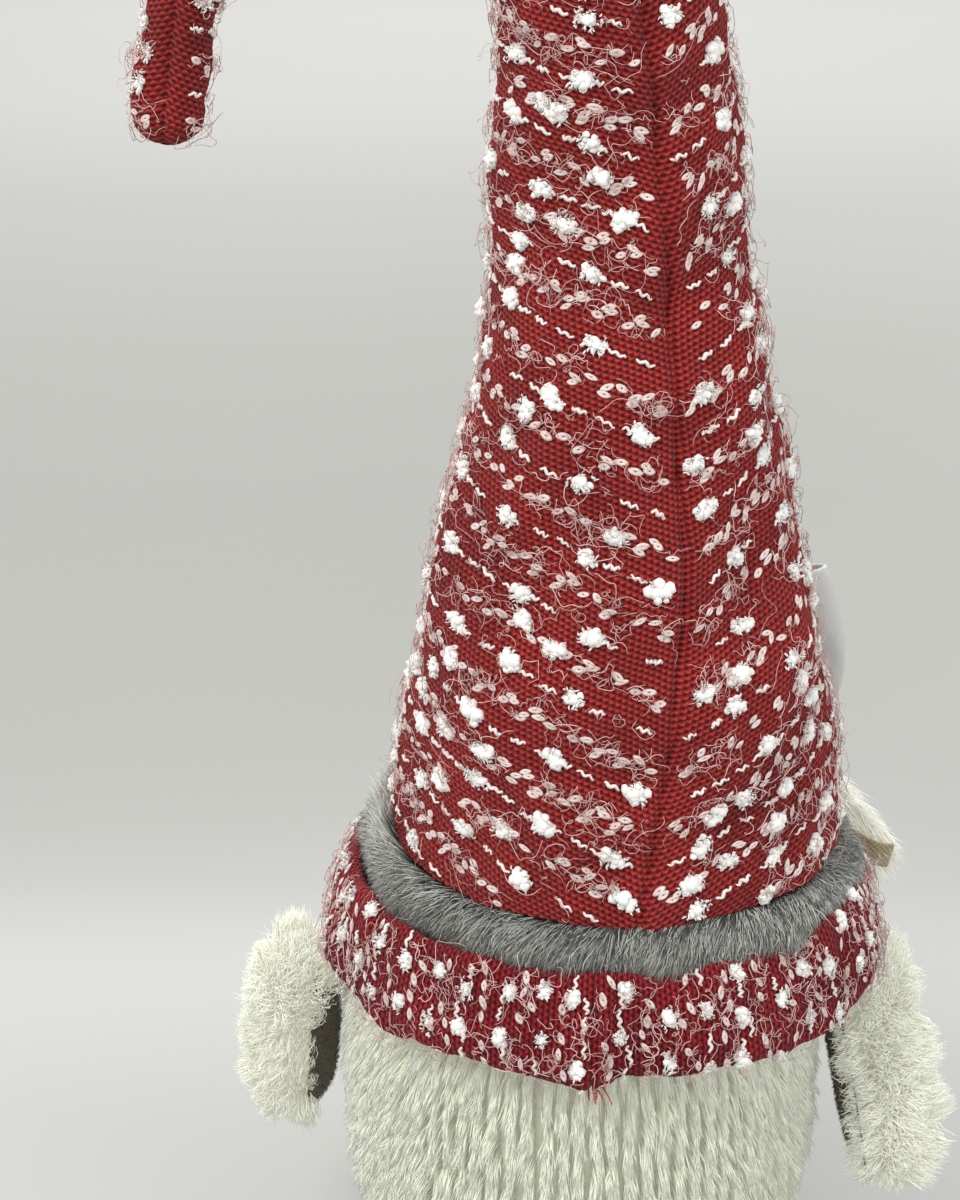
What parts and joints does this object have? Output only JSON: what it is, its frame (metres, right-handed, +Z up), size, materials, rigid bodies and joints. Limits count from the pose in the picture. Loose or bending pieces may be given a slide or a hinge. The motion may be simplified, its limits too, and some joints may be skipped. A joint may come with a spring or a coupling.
{
  "type": "tomte gnome figurine",
  "caption": "Standing plush tomte with a tall bendable knitted hat, fur hair band, knitted collar, fleece arms, beard and bow.",
  "frame": {"origin": "centre of the flat base, on the surface it stands on", "axes": "+Z up; the figure faces -Y, and its own left hand and the hanging hat tip are at +X"},
  "size_m": [0.2143, 0.1758, 0.4867],
  "materials": {
    "plush_cream": "matte",
    "red_knit": "matte",
    "crimson_knit": "matte",
    "grey_fur": "matte",
    "taupe_suede": "matte",
    "nose_fabric": "matte",
    "ribbon_white": "satin",
    "woven_backing": "matte",
    "plain_lining": "matte",
    "fibre_filling": "matte",
    "base_cardboard": "matte",
    "pellets": "matte",
    "wire_steel": "satin",
    "twig_wood": "matte",
    "frosted_leaf": "matte",
    "thread_white": "matte"
  },
  "bodies": {
    "figure": {"base_cover": "plain_lining", "base_board": "base_cardboard", "pellet_bag": "pellets", "body_stuffing": "fibre_filling", "body_cover": "plush_cream", "head_cover": "plain_lining", "head_stuffing": "fibre_filling", "hair_band": "grey_fur", "knit_collar": "crimson_knit", "hat_brim_hem": "red_knit", "hat_knit_lower": "red_knit", "hat_stuffing_lower": "fibre_filling", "hat_wire_lower": "wire_steel", "nose": "nose_fabric", "moustache_backing": "woven_backing", "moustache_left": "plush_cream", "moustache_right": "plush_cream", "bow_loop_left": "ribbon_white", "bow_loop_right": "ribbon_white", "bow_knot": "ribbon_white", "bow_tail_left": "ribbon_white", "bow_tail_right": "ribbon_white", "sprig_stem": "twig_wood", "sprig_twig_1": "frosted_leaf", "sprig_twig_2": "frosted_leaf", "sprig_twig_3": "frosted_leaf", "sprig_twig_4": "frosted_leaf"},
    "hat_mid": {"hat_knit_mid": "red_knit", "hat_stuffing_mid": "fibre_filling", "hat_wire_mid": "wire_steel"},
    "hat_crown": {"hat_knit_crown": "red_knit", "hat_stuffing_crown": "fibre_filling", "hat_wire_crown": "wire_steel"},
    "hat_tip": {"hat_knit_tip": "red_knit", "hat_stuffing_tip": "fibre_filling", "hat_wire_tip": "wire_steel"},
    "shoulder_left": {"shoulder_thread_left": "thread_white"},
    "arm_left": {"sleeve_left": "plush_cream", "palm_left": "taupe_suede", "thumb_left": "taupe_suede", "arm_stuffing_left": "fibre_filling"},
    "shoulder_right": {"shoulder_thread_right": "thread_white"},
    "arm_right": {"sleeve_right": "plush_cream", "palm_right": "taupe_suede", "thumb_right": "taupe_suede", "arm_stuffing_right": "fibre_filling"},
    "beard": {"beard_backing": "woven_backing", "beard_fur": "plush_cream"}
  },
  "joints": [
    {"name": "hat_lean", "type": "hinge", "parent": "figure", "child": "hat_mid", "pos_m": [-0.0068, 0, 0.345], "axis": [0, 1, 0], "range_deg": [-20, 15]},
    {"name": "hat_crown_bend", "type": "hinge", "parent": "hat_mid", "child": "hat_crown", "pos_m": [0.014, 0, 0.442], "axis": [0, 1, 0], "range_deg": [-45, 15]},
    {"name": "hat_tip_bend", "type": "hinge", "parent": "hat_crown", "child": "hat_tip", "pos_m": [0.087, 0, 0.444], "axis": [0, 1, 0], "range_deg": [-50, 20]},
    {"name": "arm_swing_left", "type": "hinge", "parent": "figure", "child": "shoulder_left", "pos_m": [0.0807, 0, 0.1055], "axis": [1, 0, 0], "range_deg": [-20, 70]},
    {"name": "arm_lift_left", "type": "hinge", "parent": "shoulder_left", "child": "arm_left", "pos_m": [0.0807, 0, 0.1055], "axis": [0, -0.9063, 0.4226], "range_deg": [-2, 54]},
    {"name": "arm_swing_right", "type": "hinge", "parent": "figure", "child": "shoulder_right", "pos_m": [-0.0807, 0, 0.1055], "axis": [1, 0, 0], "range_deg": [-70, 20]},
    {"name": "arm_lift_right", "type": "hinge", "parent": "shoulder_right", "child": "arm_right", "pos_m": [-0.0807, 0, 0.1055], "axis": [0, 0.9063, 0.4226], "range_deg": [-7, 49]},
    {"name": "beard_lift", "type": "hinge", "parent": "figure", "child": "beard", "pos_m": [-0.006, -0.0801, 0.124], "axis": [-1, 0, 0], "range_deg": [0, 70]}
  ]
}
